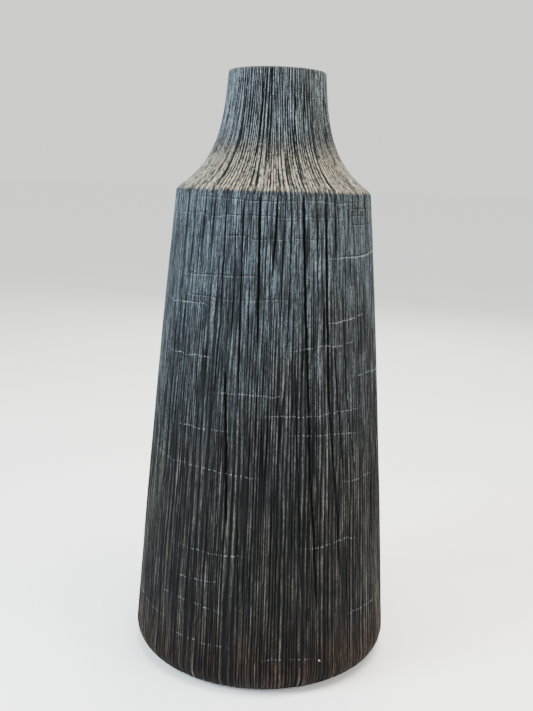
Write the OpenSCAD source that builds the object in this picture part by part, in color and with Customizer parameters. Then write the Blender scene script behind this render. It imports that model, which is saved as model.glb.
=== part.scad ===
// Tall stoneware bottle vase, hand built from sections that are luted together
// Millimetres, +Z up, origin at the centre of the foot

/* [Outside] */
// Height of the body, from the foot to the shoulder edge
body_h = 287.7; // [220:0.1:360]
// Height of the neck, from the shoulder edge to the lip
neck_h = 68.3; // [54:0.1:90]
// Widest diameter, just above the rounded foot
base_d = 160; // [130:0.5:200]
// Diameter of the crisp edge at the shoulder
shoulder_d = 117.2; // [96:0.2:142]
// Outer diameter at the lip
lip_d = 58.4; // [46:0.2:72]
// Height over which the neck's flare falls to about a third
neck_flare = 20; // [14:0.5:26]
// How far the side swells beyond a straight taper at mid height
side_swell = 1; // [0:0.1:3]
// Radius of the rounded lower edge
foot_round = 13.8; // [9:0.1:20]

/* [Body] */
// Thickness of the body wall
wall = 7; // [5:0.1:9]
// Height of the seam between the lower and the upper wall
waist_h = 152; // [110:1:190]
// Depth of the spigot that drops into the section below
lap_h = 7; // [5:0.5:10]

/* [Floor] */
// Thickness of the floor slab
floor_t = 10; // [7:0.5:14]
// Height of the step that the lower wall stands on
step_h = 6; // [4:0.5:8]
// Width of the ring that the vase stands on
foot_w = 9; // [6:0.5:16]
// Depth of the hollow turned under the floor
foot_recess = 3; // [1.5:0.5:4]

/* [Mouth] */
// Thickness of the wall at the mouth
mouth_wall = 5.7; // [4.5:0.1:8]
// Length of the straight bore, down from the lip
bore_l = 24; // [18:1:32]
// Height of the coil that finishes the lip
lip_h = 8; // [6:0.5:12]
// Depth of the lip coil's spigot
lip_lap = 3; // [2:0.5:5]
// Radius on both edges of the lip
lip_round = 1.6; // [0.8:0.1:2]

/* [Seam coils] */
// Radius of the coil pressed into the corner of the floor
corner_r = 9; // [6:0.5:14]
// How far the flat seam coils stand off the wall
coil_proud = 2.2; // [1.2:0.1:3.5]
// Distance from a flat coil's edge to the end of its spigot
coil_inset = 1; // [0.5:0.1:2]

/* [Liner glaze] */
// Thickness of the glaze inside
glaze_t = 0.5; // [0.3:0.1:1]
// Bare clay left between the glaze and the straight bore
glaze_gap = 2; // [1:0.5:6]

/* [Hidden] */

stoneware = "#2d2b2a";
raw_coil = "#37332f";
black_glaze = "#0e1012";

round_fn = 128;
arc_steps = 6;
side_steps = 8;
flare_steps = 16;

base_r = base_d / 2;
shoulder_r = shoulder_d / 2;
lip_r = lip_d / 2;
mouth_r = lip_r - mouth_wall;
vase_h = body_h + neck_h;
floor_top = foot_recess + floor_t;
floor_r = base_r - wall;
throat_r = shoulder_r - wall;
foot_outer_r = base_r - foot_round;
foot_inner_r = foot_outer_r - foot_w;
waist_seam_z = waist_h - lap_h;
shoulder_seam_z = body_h - lap_h;
lip_z = vase_h - lip_h;
lip_seam_z = lip_z - lip_lap;
lip_mid_r = mouth_r + mouth_wall / 2;
bore_z = vase_h - bore_l;

// The inner face of the body is one cone, from the floor to the throat
in_slope = (throat_r - floor_r) / (body_h - floor_top);
in_lean = atan(-in_slope);
function in_r(z) = floor_r + in_slope * (z - floor_top);

// The outer face of the body, above the rounded edge
function side_t(z) = (z - foot_round) / (body_h - foot_round);
function side_r(z) =
    base_r + (shoulder_r - base_r) * side_t(z) + 4 * side_swell * side_t(z) * (1 - side_t(z));

// The middle of the wall, where a spigot meets its rebate
function mid_r(z) = side_r(z) - wall / 2;

// Both faces of the neck die away in the same curve, from a start to an end radius
function fade(z) = exp(-(z - body_h) / neck_flare);
function flare_r(z, start_r, end_r, end_z) =
    let (last_r = (end_r - start_r * fade(end_z)) / (1 - fade(end_z)))
    last_r + (start_r - last_r) * fade(z);
function neck_r(z) = flare_r(z, shoulder_r, lip_r, vase_h);
function bore_r(z) = flare_r(z, throat_r, mouth_r, bore_z);

function steps(first, last, count) = [for (i = [0:count]) first + (last - first) * i / count];
function arc(r, z, radius, first, last) =
    [for (a = steps(first, last, arc_steps)) [r + radius * cos(a), z + radius * sin(a)]];
function side_line(first, last) = [for (z = steps(first, last, side_steps)) [side_r(z), z]];
function neck_line(first, last) = [for (z = steps(first, last, flare_steps)) [neck_r(z), z]];

// The rounded lower edge is parted where the lower wall stands on the slab
step_a = acos(1 - step_h / foot_round) - 90;
function foot_edge(first, last) = arc(foot_outer_r, foot_round, foot_round, first, last);

// The concave face of the corner coil, moved into the vase by a coat
corner_z = floor_top + corner_r;
function corner_face(coat) =
    arc(in_r(corner_z) - corner_r / cos(in_lean), corner_z, corner_r - coat, -90, in_lean);

// The convex face of a flat coil over a seam, moved into the vase by a coat
coil_half = lap_h - coil_inset;
coil_r = (pow(coil_half, 2) + pow(coil_proud, 2)) / (2 * coil_proud);
coil_back = coil_r - coil_proud;
function coil_face(z, coat) =
    let (half_a = acos((coil_back + coat) / (coil_r + coat)))
    arc(in_r(z) + coil_back * cos(in_lean), z + coil_back * sin(in_lean), coil_r + coat,
        180 + in_lean + half_a, 180 + in_lean - half_a);

// The throat's inner face, which the neck and the glaze on it share
glaze_z = bore_z - glaze_gap;
throat_line = [for (z = steps(body_h, glaze_z, flare_steps)) [bore_r(z), z]];

// The whole inner face from the middle of the floor to the glaze's upper edge
function inner_face(coat) = concat(
    [[0, floor_top + coat]],
    corner_face(coat),
    coil_face(waist_seam_z, coat),
    coil_face(shoulder_seam_z, coat),
    [for (p = throat_line) [p[0] - coat, p[1]]]
);
function backwards(points) = [for (i = [len(points) - 1:-1:0]) points[i]];

module turned(points) {
    rotate_extrude($fn = round_fn) polygon(points);
}

// Slab with a turned foot ring and a raised middle that centres the wall
module floor_slab() {
    color(stoneware) turned(concat(
        [[0, foot_recess], [foot_inner_r, foot_recess], [foot_inner_r, 0]],
        foot_edge(-90, step_a),
        [[floor_r, step_h], [floor_r, floor_top], [0, floor_top]]
    ));
}

module lower_wall() {
    color(stoneware) turned(concat(
        [[floor_r, step_h]],
        foot_edge(step_a, 0),
        [for (z = steps(foot_round, waist_h, side_steps)) if (z > foot_round) [side_r(z), z]],
        [[mid_r(waist_h), waist_h], [mid_r(waist_h), waist_seam_z]],
        [[in_r(waist_seam_z), waist_seam_z], [floor_r, floor_top]]
    ));
}

module upper_wall() {
    color(stoneware) turned(concat(
        [[mid_r(waist_h), waist_h]],
        side_line(waist_h, body_h),
        [[mid_r(body_h), body_h], [mid_r(body_h), shoulder_seam_z]],
        [[in_r(shoulder_seam_z), shoulder_seam_z], [in_r(waist_seam_z), waist_seam_z]],
        [[mid_r(waist_h), waist_seam_z]]
    ));
}

// Shoulder and neck in one section, with a spigot inside the upper wall
module neck() {
    color(stoneware) turned(concat(
        [[mid_r(body_h), body_h]],
        neck_line(body_h, lip_z),
        [[lip_mid_r, lip_z], [lip_mid_r, lip_seam_z], [mouth_r, lip_seam_z], [mouth_r, bore_z]],
        backwards(throat_line),
        [[in_r(shoulder_seam_z), shoulder_seam_z], [mid_r(body_h), shoulder_seam_z]]
    ));
}

module rim_coil() {
    lip_arc_z = vase_h - lip_round;
    color(stoneware) turned(concat(
        [[mouth_r, lip_seam_z], [lip_mid_r, lip_seam_z], [lip_mid_r, lip_z], [neck_r(lip_z), lip_z]],
        arc(lip_r - lip_round, lip_arc_z, lip_round, 0, 90),
        arc(mouth_r + lip_round, lip_arc_z, lip_round, 90, 180)
    ));
}

module floor_seam_coil() {
    color(raw_coil) turned(concat(corner_face(0), [[floor_r, floor_top]]));
}

module waist_seam_coil() {
    color(raw_coil) turned(coil_face(waist_seam_z, 0));
}

module shoulder_seam_coil() {
    color(raw_coil) turned(coil_face(shoulder_seam_z, 0));
}

// Coat of glaze over the floor, the coils and the walls, up to the straight bore
module glaze_liner() {
    color(black_glaze) turned(concat(inner_face(0), backwards(inner_face(glaze_t))));
}

floor_slab();
lower_wall();
upper_wall();
neck();
rim_coil();
floor_seam_coil();
waist_seam_coil();
shoulder_seam_coil();
glaze_liner();
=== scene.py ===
# Tall bottle vase in dark combed stoneware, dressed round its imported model
import math
import random

import bmesh
import bpy
from mathutils import Matrix, Vector


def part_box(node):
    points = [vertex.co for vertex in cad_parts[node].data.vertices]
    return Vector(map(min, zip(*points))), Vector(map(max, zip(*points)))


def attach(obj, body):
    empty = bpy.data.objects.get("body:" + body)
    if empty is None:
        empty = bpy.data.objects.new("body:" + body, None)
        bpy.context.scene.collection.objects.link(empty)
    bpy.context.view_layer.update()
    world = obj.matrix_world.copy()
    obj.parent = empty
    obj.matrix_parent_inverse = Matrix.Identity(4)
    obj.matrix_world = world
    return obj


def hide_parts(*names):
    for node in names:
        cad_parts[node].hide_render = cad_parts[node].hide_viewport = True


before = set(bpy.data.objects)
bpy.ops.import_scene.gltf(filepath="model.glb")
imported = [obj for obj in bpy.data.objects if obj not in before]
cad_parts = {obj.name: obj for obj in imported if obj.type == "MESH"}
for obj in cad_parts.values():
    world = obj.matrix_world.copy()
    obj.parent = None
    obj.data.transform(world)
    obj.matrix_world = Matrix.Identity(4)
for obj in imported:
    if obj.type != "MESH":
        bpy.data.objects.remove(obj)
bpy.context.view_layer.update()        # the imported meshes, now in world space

mm = 0.001
quarterTurn = math.pi / 2
fullTurn = 2 * math.pi

# the curves of the pot in millimetres, the same as in the model
potShape = {
    "wall": 7.0,
    "footRound": 13.8,       # radius of the lower edge
    "footRing": 9.0,         # width of the ring it stands on
    "footHollow": 3.0,       # depth of the hollow inside that ring
    "sideSwell": 1.0,
    "neckFlare": 20.0,
    "lipRadius": 29.2,
    "mouthWall": 5.7,
    "boreLength": 24.0,      # straight part below the lip
    "lipRound": 1.6,
}
pot = {name: size * mm for name, size in potShape.items()}


def reach(node):
    # widest radius of a model node
    return max(math.hypot(v.co.x, v.co.y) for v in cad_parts[node].data.vertices)


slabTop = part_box("floor_slab")[1].z
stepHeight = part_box("lower_wall")[0].z
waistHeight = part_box("lower_wall")[1].z
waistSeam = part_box("upper_wall")[0].z
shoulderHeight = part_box("upper_wall")[1].z
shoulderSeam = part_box("neck")[0].z
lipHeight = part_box("neck")[1].z
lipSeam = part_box("rim_coil")[0].z
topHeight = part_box("rim_coil")[1].z
baseRadius = reach("lower_wall")
shoulderRadius = reach("neck")

floorRadius = baseRadius - pot["wall"]
throatRadius = shoulderRadius - pot["wall"]
footOuter = baseRadius - pot["footRound"]
footInner = footOuter - pot["footRing"]
mouthRadius = pot["lipRadius"] - pot["mouthWall"]
lipMiddle = mouthRadius + pot["mouthWall"] / 2
boreHeight = topHeight - pot["boreLength"]
stepAngle = math.acos(1 - stepHeight / pot["footRound"]) - quarterTurn


def sideRadius(z):
    t = (z - pot["footRound"]) / (shoulderHeight - pot["footRound"])
    return baseRadius + (shoulderRadius - baseRadius) * t + 4 * pot["sideSwell"] * t * (1 - t)


def innerRadius(z):
    return floorRadius + (throatRadius - floorRadius) * (z - slabTop) / (shoulderHeight - slabTop)


def middleRadius(z):
    return sideRadius(z) - pot["wall"] / 2


def flareRadius(z, start, end, endHeight):
    # dies away from the start radius to the end radius
    fade = math.exp(-(z - shoulderHeight) / pot["neckFlare"])
    endFade = math.exp(-(endHeight - shoulderHeight) / pot["neckFlare"])
    last = (end - start * endFade) / (1 - endFade)
    return last + (start - last) * fade


def neckRadius(z):
    return flareRadius(z, shoulderRadius, pot["lipRadius"], topHeight)


def boreRadius(z):
    return flareRadius(z, throatRadius, mouthRadius, boreHeight)


def skinRadius(z):
    # outer face at any height
    if z > shoulderHeight:
        return neckRadius(z)
    if z > pot["footRound"]:
        return sideRadius(z)
    rise = (pot["footRound"] - z) / pot["footRound"]
    return footOuter + pot["footRound"] * math.sqrt(max(0, 1 - rise * rise))


# outlines of the five clay sections: a point is radius, height,
# how far the comb marks it, and 1 at a sharp corner

outlineRules = {
    "sideGap": 2.9 * mm,      # between rows on the body
    "edgeRows": [3 * mm, 1.8 * mm, 1.1 * mm, 0.5 * mm, 0],    # below the shoulder edge
    "neckRows": 48,
    "neckCrowd": 1.35,        # above 1 the rows crowd towards the shoulder
    "throatGap": 4 * mm,
    "lipGap": 0.6 * mm,
    "ringGap": 3.2 * mm,      # between the turning rings under the foot
    "ringDepth": 0.12 * mm,
    "arcGap": math.radians(9),
    "footFade": 3 * mm,       # the comb marks die out over this height at the foot
}


def rows(first, last, gap):
    count = max(1, math.ceil(abs(last - first) / gap))
    return [first + (last - first) * i / count for i in range(count + 1)]


def markCorners(line):
    # first and last point of a smooth run are sharp corners
    return [(r, z, combed, float(i in (0, len(line) - 1))) for i, (r, z, combed) in enumerate(line)]


def footArc(first, last):
    line = []
    for angle in rows(first, last, outlineRules["arcGap"]):
        z = pot["footRound"] * (1 + math.sin(angle))
        combed = min(1, z / outlineRules["footFade"])
        line.append((footOuter + pot["footRound"] * math.cos(angle), z, combed))
    return line


def floorSlabOutline():
    line = [(0, slabTop, 0, 0), (floorRadius, slabTop, 0, 1), (floorRadius, stepHeight, 0, 1)]
    line += markCorners(footArc(stepAngle, -quarterTurn))
    line += [(footInner, 0, 0, 1)]
    ringStarts = rows(footInner, 0, outlineRules["ringGap"])
    for i, r in enumerate(ringStarts):
        lift = outlineRules["ringDepth"] * (i % 2) * (r > 0)
        line.append((r, pot["footHollow"] - lift, 0, float(i == 0)))
    return line


def lowerWallOutline():
    side = [(sideRadius(z), z, 1) for z in rows(pot["footRound"], waistHeight, outlineRules["sideGap"])]
    line = [(floorRadius, stepHeight, 0, 1)]
    line += markCorners(footArc(stepAngle, 0) + side[1:])
    line += [(middleRadius(waistHeight), z, 0, 1) for z in (waistHeight, waistSeam)]
    return line + [(innerRadius(waistSeam), waistSeam, 0, 1), (floorRadius, slabTop, 0, 1)]


def upperWallOutline():
    edge = [shoulderHeight - below for below in outlineRules["edgeRows"]]
    side = rows(waistHeight, edge[0], outlineRules["sideGap"]) + edge[1:]
    side = [(sideRadius(z), z, 1) for z in side]
    line = [(middleRadius(waistHeight), waistHeight, 0, 1)]
    line += markCorners(side)
    line += [(middleRadius(shoulderHeight), z, 0, 1) for z in (shoulderHeight, shoulderSeam)]
    line += [(innerRadius(z), z, 0, 1) for z in (shoulderSeam, waistSeam)]
    return line + [(middleRadius(waistHeight), waistSeam, 0, 1)]


def neckOutline():
    along = [t ** outlineRules["neckCrowd"] for t in rows(0, 1, 1 / outlineRules["neckRows"])]
    flare = [shoulderHeight + (lipHeight - shoulderHeight) * t for t in along]
    flare = [(neckRadius(z), z, 1) for z in flare]
    throat = rows(boreHeight, shoulderHeight, outlineRules["throatGap"])
    line = [(middleRadius(shoulderHeight), shoulderHeight, 0, 1)]
    line += markCorners(flare)
    line += [(lipMiddle, lipHeight, 0, 1), (lipMiddle, lipSeam, 0, 1), (mouthRadius, lipSeam, 0, 1)]
    line += [(boreRadius(z), z, 0, 0) for z in throat]
    line.append((innerRadius(shoulderSeam), shoulderSeam, 0, 1))
    return line + [(middleRadius(shoulderHeight), shoulderSeam, 0, 1)]


def rimOutline():
    arcHeight = topHeight - pot["lipRound"]
    lowRadius = neckRadius(lipHeight)
    arcGap = 2 * outlineRules["arcGap"]
    line = [(mouthRadius, lipSeam, 0, 1), (lipMiddle, lipSeam, 0, 1), (lipMiddle, lipHeight, 0, 1)]
    outer = []
    for z in rows(lipHeight, arcHeight, outlineRules["lipGap"]):
        along = (z - lipHeight) / (arcHeight - lipHeight)
        outer.append((lowRadius + (pot["lipRadius"] - lowRadius) * along, z, 1, 0))
    outer[0] = outer[0][:3] + (1,)
    line += outer
    for angle in rows(0, quarterTurn, arcGap)[1:]:
        across = pot["lipRadius"] - pot["lipRound"] + pot["lipRound"] * math.cos(angle)
        line.append((across, arcHeight + pot["lipRound"] * math.sin(angle), 1 - angle / quarterTurn, 0))
    for angle in rows(quarterTurn, 2 * quarterTurn, arcGap):
        across = mouthRadius + pot["lipRound"] + pot["lipRound"] * math.cos(angle)
        line.append((across, arcHeight + pot["lipRound"] * math.sin(angle), 0, 0))
    return line


def outlineObject(name, line, closed):
    # a string of edges in the XZ plane that carries its marks as attributes
    mesh = bpy.data.meshes.new(name)
    edges = [(i, i + 1) for i in range(len(line) - 1)]
    if closed:
        edges.append((len(line) - 1, 0))
    mesh.from_pydata([(r, 0, z) for r, z, combed, corner in line], edges, [])
    for place, label in ((2, "combed"), (3, "corner")):
        values = mesh.attributes.new(label, "FLOAT", "POINT")
        values.data.foreach_set("value", [float(point[place]) for point in line])
    outline = bpy.data.objects.new(name, mesh)
    bpy.context.scene.collection.objects.link(outline)
    return outline


# small helpers that fill a node tree

def plug(tree, socket, value):
    if isinstance(value, bpy.types.NodeSocket):
        tree.links.new(value, socket)
    else:
        socket.default_value = value


def addNode(tree, kind, plugs=None, **settings):
    node = tree.nodes.new(kind)
    for name, value in settings.items():
        setattr(node, name, value)
    for name, value in (plugs or {}).items():
        plug(tree, node.inputs[name], value)
    return node


def calc(tree, operation, a, b=0.0, clamp=False):
    node = addNode(tree, "ShaderNodeMath", {0: a, 1: b}, operation=operation, use_clamp=clamp)
    return node.outputs[0]


def times(tree, a, b):
    return calc(tree, "MULTIPLY", a, b)


def plus(tree, a, b):
    return calc(tree, "ADD", a, b)


def minus(tree, a, b):
    return calc(tree, "SUBTRACT", a, b)


def over(tree, a, b):
    return calc(tree, "DIVIDE", a, b)


def larger(tree, a, b):
    return calc(tree, "MAXIMUM", a, b)


def vectorCalc(tree, operation, a, b):
    second = 3 if operation == "SCALE" else 1
    return addNode(tree, "ShaderNodeVectorMath", {0: a, second: b}, operation=operation).outputs[0]


def ramp(tree, value, start, end, low=0.0, high=1.0):
    # smooth step from low to high while the value goes from start to end
    plugs = {"Value": value, "From Min": start, "From Max": end, "To Min": low, "To Max": high}
    return addNode(tree, "ShaderNodeMapRange", plugs, interpolation_type="SMOOTHSTEP").outputs[0]


def blendValue(tree, factor, a, b):
    return addNode(tree, "ShaderNodeMix", {0: factor, 2: a, 3: b}, data_type="FLOAT").outputs[0]


def blendTint(tree, factor, a, b, mode="MIX"):
    plugs = {0: factor, 6: a, 7: b}
    return addNode(tree, "ShaderNodeMix", plugs, data_type="RGBA", blend_type=mode).outputs[2]


def noise(tree, vector, scale=1.0, detail=2.0, roughness=0.5):
    plugs = {"Vector": vector, "Scale": scale, "Detail": detail, "Roughness": roughness}
    return addNode(tree, "ShaderNodeTexNoise", plugs).outputs[0]


def newSockets(tree, inputs, outputs):
    for name, kind, value in inputs:
        socket = tree.interface.new_socket(name=name, in_out="INPUT", socket_type=kind)
        if value is not None:
            socket.default_value = value
    for name, kind in outputs:
        tree.interface.new_socket(name=name, in_out="OUTPUT", socket_type=kind)
    return tree.nodes.new("NodeGroupInput").outputs, tree.nodes.new("NodeGroupOutput").inputs


def streaks(tree, aim, height, lines, run, detail=1.0, roughness=0.5, shift=0.0):
    # noise drawn out along the height, with so many cells round the pot
    around = vectorCalc(tree, "SCALE", aim, over(tree, lines, fullTurn))
    upward = addNode(tree, "ShaderNodeCombineXYZ", {"X": shift, "Z": over(tree, height, run)})
    return noise(tree, vectorCalc(tree, "ADD", around, upward.outputs[0]), 1.0, detail, roughness)


# long cuts in the clay: half width and depth in millimetres, length of the run-out at the ends,
# then the angle from the front in degrees and the height along the cut

longCuts = [
    (1.0, 2.0, 20, [(-7, 292), (-6.4, 250), (-5.2, 200)]),
    (0.9, 1.7, 20, [(2.6, 292), (1.6, 262), (0.6, 238)]),
    (0.5, 1.1, 25, [(10, 290), (9.7, 240), (9, 190)]),
    (1.0, 2.1, 25, [(16.2, 292), (18, 227), (20, 176), (21, 136), (23.5, 96), (25.5, 46)]),
    (0.6, 1.2, 20, [(24.2, 290), (24.6, 250), (25, 216)]),
    (1.0, 2.0, 25, [(29.5, 292), (30.5, 200), (31, 176), (34, 132), (36, 106), (37.5, 66)]),
    (0.8, 1.7, 25, [(34, 212), (36, 176), (39.5, 136), (40, 112)]),
    (0.8, 1.6, 25, [(40, 238), (41.8, 176), (46, 140), (49, 118)]),
    (0.8, 1.6, 25, [(51.5, 238), (52.5, 190), (53, 150)]),
    (0.7, 1.4, 25, [(58, 240), (60, 180), (63, 124)]),
    (0.7, 1.4, 25, [(-16, 290), (-15, 236), (-13.5, 162)]),
    (0.6, 1.2, 25, [(-25.5, 290), (-25, 216), (-27, 138)]),
    (0.6, 1.3, 20, [(-40, 290), (-39.5, 234)]),
    (1.0, 1.7, 25, [(-56, 218), (-55, 160), (-53.5, 114)]),
    (0.8, 1.4, 25, [(-49, 238), (-50, 180), (-50.5, 122)]),
    (1.1, 2.2, 5, [(-21, 189), (-19.6, 168), (-18.2, 146), (-16.4, 100)]),
    (0.5, 1.0, 20, [(-1.5, 162), (-1, 98)]),
    (0.7, 1.4, 25, [(13, 200), (14.6, 150), (16, 116), (18, 54)]),
    (0.7, 1.3, 25, [(-11.5, 116), (-10, 70), (-9, 30)]),
    (0.6, 1.2, 25, [(-30, 102), (-29.5, 60), (-29, 22)]),
    (0.6, 1.2, 25, [(-27, 128), (-25.5, 96), (-24, 64)]),
    (1.2, 1.4, 25, [(46, 98), (46, 28)]),
    (1.2, 1.4, 25, [(62.5, 118), (63, 64)]),
    (0.6, 1.3, 20, [(46, 291), (45.6, 258)]),
    (0.6, 1.3, 20, [(57.5, 291), (57.8, 250)]),
    (0.7, 1.4, 20, [(35.5, 291), (36, 244)]),
    (0.5, 1.1, 20, [(-33, 290), (-33.5, 246)]),
    (0.6, 1.2, 20, [(-47, 290), (-47.5, 238)]),
    (0.6, 1.2, 20, [(-54, 290), (-54, 246)]),
    (0.5, 1.0, 25, [(-35, 150), (-34, 60)]),
    (0.5, 1.1, 25, [(-42, 170), (-42.5, 70)]),
    (0.6, 1.2, 25, [(6, 130), (6.5, 24)]),
    (0.5, 1.0, 25, [(-5, 90), (-5.5, 16)]),
    (0.6, 1.2, 25, [(30, 90), (31, 20)]),
]
neckFlutes = [
    (0.52, 1.0, 6, [(-61, 350), (-60, 318)]),
    (0.6, 1.2, 8, [(-47.5, 352), (-49, 335), (-48.5, 308)]),
    (0.6, 1.3, 8, [(-35.3, 356), (-36, 330), (-34.6, 304)]),
    (0.52, 1.1, 8, [(-25.5, 346), (-27, 330), (-25.8, 303)]),
    (0.6, 1.5, 8, [(-16.6, 358), (-15.2, 333), (-16.2, 300)]),
    (0.75, 1.2, 8, [(-6.6, 358), (-5, 330), (-5.6, 300)]),
    (0.38, 1.0, 5, [(3, 314), (2.4, 300), (2.6, 288)]),
    (0.52, 0.9, 8, [(5, 356), (7, 330), (8, 318)]),
    (0.45, 1.0, 6, [(9, 312), (10, 290)]),
    (0.52, 1.4, 7, [(21, 342), (17.6, 316), (18.6, 302), (19, 290)]),
    (0.52, 1.1, 7, [(31.5, 344), (28, 318), (28.6, 291)]),
    (0.52, 1.1, 7, [(42, 340), (39, 314), (40.4, 291)]),
    (0.6, 1.1, 8, [(56, 352), (57.4, 326), (55, 304)]),
    (0.45, 0.9, 8, [(68, 352), (67, 300)]),
    (0.45, 0.9, 8, [(-71, 350), (-70, 300)]),
]
unseenCuts = {           # drawn by chance on the sides and the back, where no cut is listed
    "seed": 41,
    "firstAngle": 66,
    "lastAngle": 294,
    "bodyCount": 62,
    "neckCount": 21,
    "place": (0.1, 0.9),         # where in its share of the turn a cut on the body starts
    "throughShare": 0.45,        # share of the cuts that start at the shoulder edge
    "throughTop": 291,
    "top": (110, 260),
    "length": (45, 190),
    "lowest": 14,
    "lean": (-3, 4.5),           # degrees over leanLength
    "leanLength": 150,
    "halfWidth": (0.5, 1.1),
    "depthPerWidth": 2,
    "bend": (0.3, 0.7),
    "runOut": (6, 28),
    "neckPlace": (0.2, 0.8),
    "neckLow": [289, 300, 306],
    "neckTop": (335, 357),
    "neckStray": (-2, 2),
    "neckMiddle": (310, 325),
    "neckHalfWidth": (0.4, 0.7),
    "neckDepth": (0.8, 1.3),
    "neckRunOut": 8,
    "step": 2.5,                 # millimetres between the points of a cut
    "waver": 0.25,               # how far a point strays sideways
    "endTaper": 0.05,            # what is left of a cut at its very end
}


def chanceCuts(dice):
    rules = unseenCuts
    span = rules["lastAngle"] - rules["firstAngle"]
    cuts = []
    for i in range(rules["bodyCount"]):
        angle = rules["firstAngle"] + span * (i + dice.uniform(*rules["place"])) / rules["bodyCount"]
        through = dice.random() < rules["throughShare"]
        high = rules["throughTop"] if through else dice.uniform(*rules["top"])
        low = max(rules["lowest"], high - dice.uniform(*rules["length"]))
        lean = dice.uniform(*rules["lean"]) * (high - low) / rules["leanLength"]
        width = dice.uniform(*rules["halfWidth"])
        middle = (angle + lean * dice.uniform(*rules["bend"]), (high + low) / 2)
        path = [(angle, high), middle, (angle + lean, low)]
        cuts.append((width, rules["depthPerWidth"] * width, dice.uniform(*rules["runOut"]), path))
    for i in range(rules["neckCount"]):
        angle = rules["firstAngle"] + span * (i + dice.uniform(*rules["neckPlace"])) / rules["neckCount"]
        low = dice.choice(rules["neckLow"])
        high = dice.uniform(*rules["neckTop"])
        middle = (angle + dice.uniform(*rules["neckStray"]), dice.uniform(*rules["neckMiddle"]))
        width = dice.uniform(*rules["neckHalfWidth"])
        depth = dice.uniform(*rules["neckDepth"])
        cuts.append((width, depth, rules["neckRunOut"], [(angle, high), middle, (angle, low)]))
    return cuts


def cutPoints(width, depth, runOut, path, dice):
    # points along one cut as angle, height, half width and depth, thinner towards both ends
    dense = []
    for (a0, z0), (a1, z1) in zip(path, path[1:]):
        for t in rows(0, 1, unseenCuts["step"] / max(1, abs(z1 - z0)))[bool(dense):]:
            dense.append((a0 + (a1 - a0) * t, z0 + (z1 - z0) * t))
    top = path[0][1]
    bottom = path[-1][1]
    points = []
    for angle, z in dense:
        left = min(top - z, z - bottom) / runOut
        taper = math.sin(quarterTurn * min(1, max(unseenCuts["endTaper"], left)))
        stray = dice.uniform(-1, 1) * unseenCuts["waver"] / skinRadius(z * mm) * mm
        halfWidth = width * mm * (1 + taper) / 2
        points.append((math.radians(angle) + stray, z * mm, halfWidth, depth * mm * taper))
    return points


def cutGuide():
    dice = random.Random(unseenCuts["seed"])
    corners, edges, widths, depths = [], [], [], []
    for width, depth, runOut, path in longCuts + neckFlutes + chanceCuts(dice):
        start = len(corners)
        for angle, z, halfWidth, cutDepth in cutPoints(width, depth, runOut, path, dice):
            r = skinRadius(min(z, topHeight))
            corners.append((r * math.sin(angle), -r * math.cos(angle), z))
            widths.append(halfWidth)
            depths.append(cutDepth)
        edges += [(i, i + 1) for i in range(start, len(corners) - 1)]
    mesh = bpy.data.meshes.new("cutGuide")
    mesh.from_pydata(corners, edges, [])
    for label, values in (("cutWidth", widths), ("cutDepth", depths)):
        mesh.attributes.new(label, "FLOAT", "POINT").data.foreach_set("value", values)
    guide = bpy.data.objects.new("cutGuide", mesh)
    bpy.context.scene.collection.objects.link(guide)
    return guide


# inputs of the comb tree, which turns an outline into a combed ring of clay
combMarks = {
    "Steps Around": 1440,
    "Comb Lines": 246,
    "Comb Spread": 48.0,
    "Comb Run": 80 * mm,
    "Comb Depth": 0.7 * mm,
    "Crack Lines": 95.0,
    "Crack Run": 320 * mm,
    "Crack Depth": 0.9 * mm,
    "Neck Lines": 150,
    "Neck Run": 16 * mm,
    "Neck Depth": 0.8 * mm,
    "Wander": 0.035,
    "Shoulder Height": shoulderHeight,
    "Edge Blend": 3 * mm,
    "Edge Notch": 1.5 * mm,
    "Edge Wear": 0.45 * mm,
    "Unevenness": 0.6 * mm,
    "Dent Place": Vector((78, 8, 42)) * mm,
    "Dent Size": 16 * mm,
    "Dent Depth": 0.9 * mm,
    "Seed": 3,
}
socketKinds = {int: "NodeSocketInt", float: "NodeSocketFloat", Vector: "NodeSocketVector"}

# a streak is cells round the pot and run in metres; a ramp is from, to and the values there
reliefRules = {
    "seedStep": 3.7,                   # shift of the noise from one seed to the next
    "drift": (9.0, 0.09),
    "lowerShare": 0.4,                 # the lower comb is full below this share of the shoulder height
    "pitch": (30.0, 0.7),              # uneven spacing of the comb's teeth
    "waveShare": (0.0, 0.7, 0.1, 0.18),
    "tornCells": 500.0,
    "tornRoughness": 0.75,
    "tornShare": 1.2,
    "sink": 0.13,                      # more valley on the lower body
    "valleyTop": (-0.03, 0.04),        # on the upper and on the lower body
    "valleyBottom": (-0.22, -0.3),
    "bundle": (60.0, 0.11),
    "bundleShift": 11.0,
    "bundleStrength": (0.34, 0.58, 0.35, 1.0),
    "upperStrength": 0.75,
    "crackDetail": 0.8,
    "crackShift": 23.0,
    "crackWidth": 0.03,
    "crackOpen": (70.0, 0.06),
    "crackOpenShift": 31.0,
    "crackOpenRamp": (0.42, 0.62),
    "neckShift": 47.0,
    "neckPitch": (20.0, 0.2),
    "neckWave": 0.26,
    "neckTornCells": 260.0,
    "neckTornRoughness": 0.55,
    "neckTornShare": 1.1,
    "neckCrease": (0.08, -0.2),
    "neckTeeth": (-0.06, -0.22),
    "ridge": (0.05, 0.26),
    "neckRidge": (0.06, 0.3),
    "cutCore": (1.0, 0.15),            # in half widths from the middle of a cut
    "cutCoreShare": 0.85,
    "cutShoulder": (2.4, 0.3, 0.0, 0.15),
    # a cut this deep is painted fully dark, as painted shade
    "cutDarkDepth": 1.2 * mm,
    "lumps": (7.0, 0.08),
    "lumpShift": 61.0,
    "wearReach": 1.4 * mm,
    "cornerLeast": 0.99,               # both ends of a sharp edge are corners
    "alongMost": 0.25,                 # and both are the same point of the outline
    "mergeGap": 0.001 * mm,
}


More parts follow.
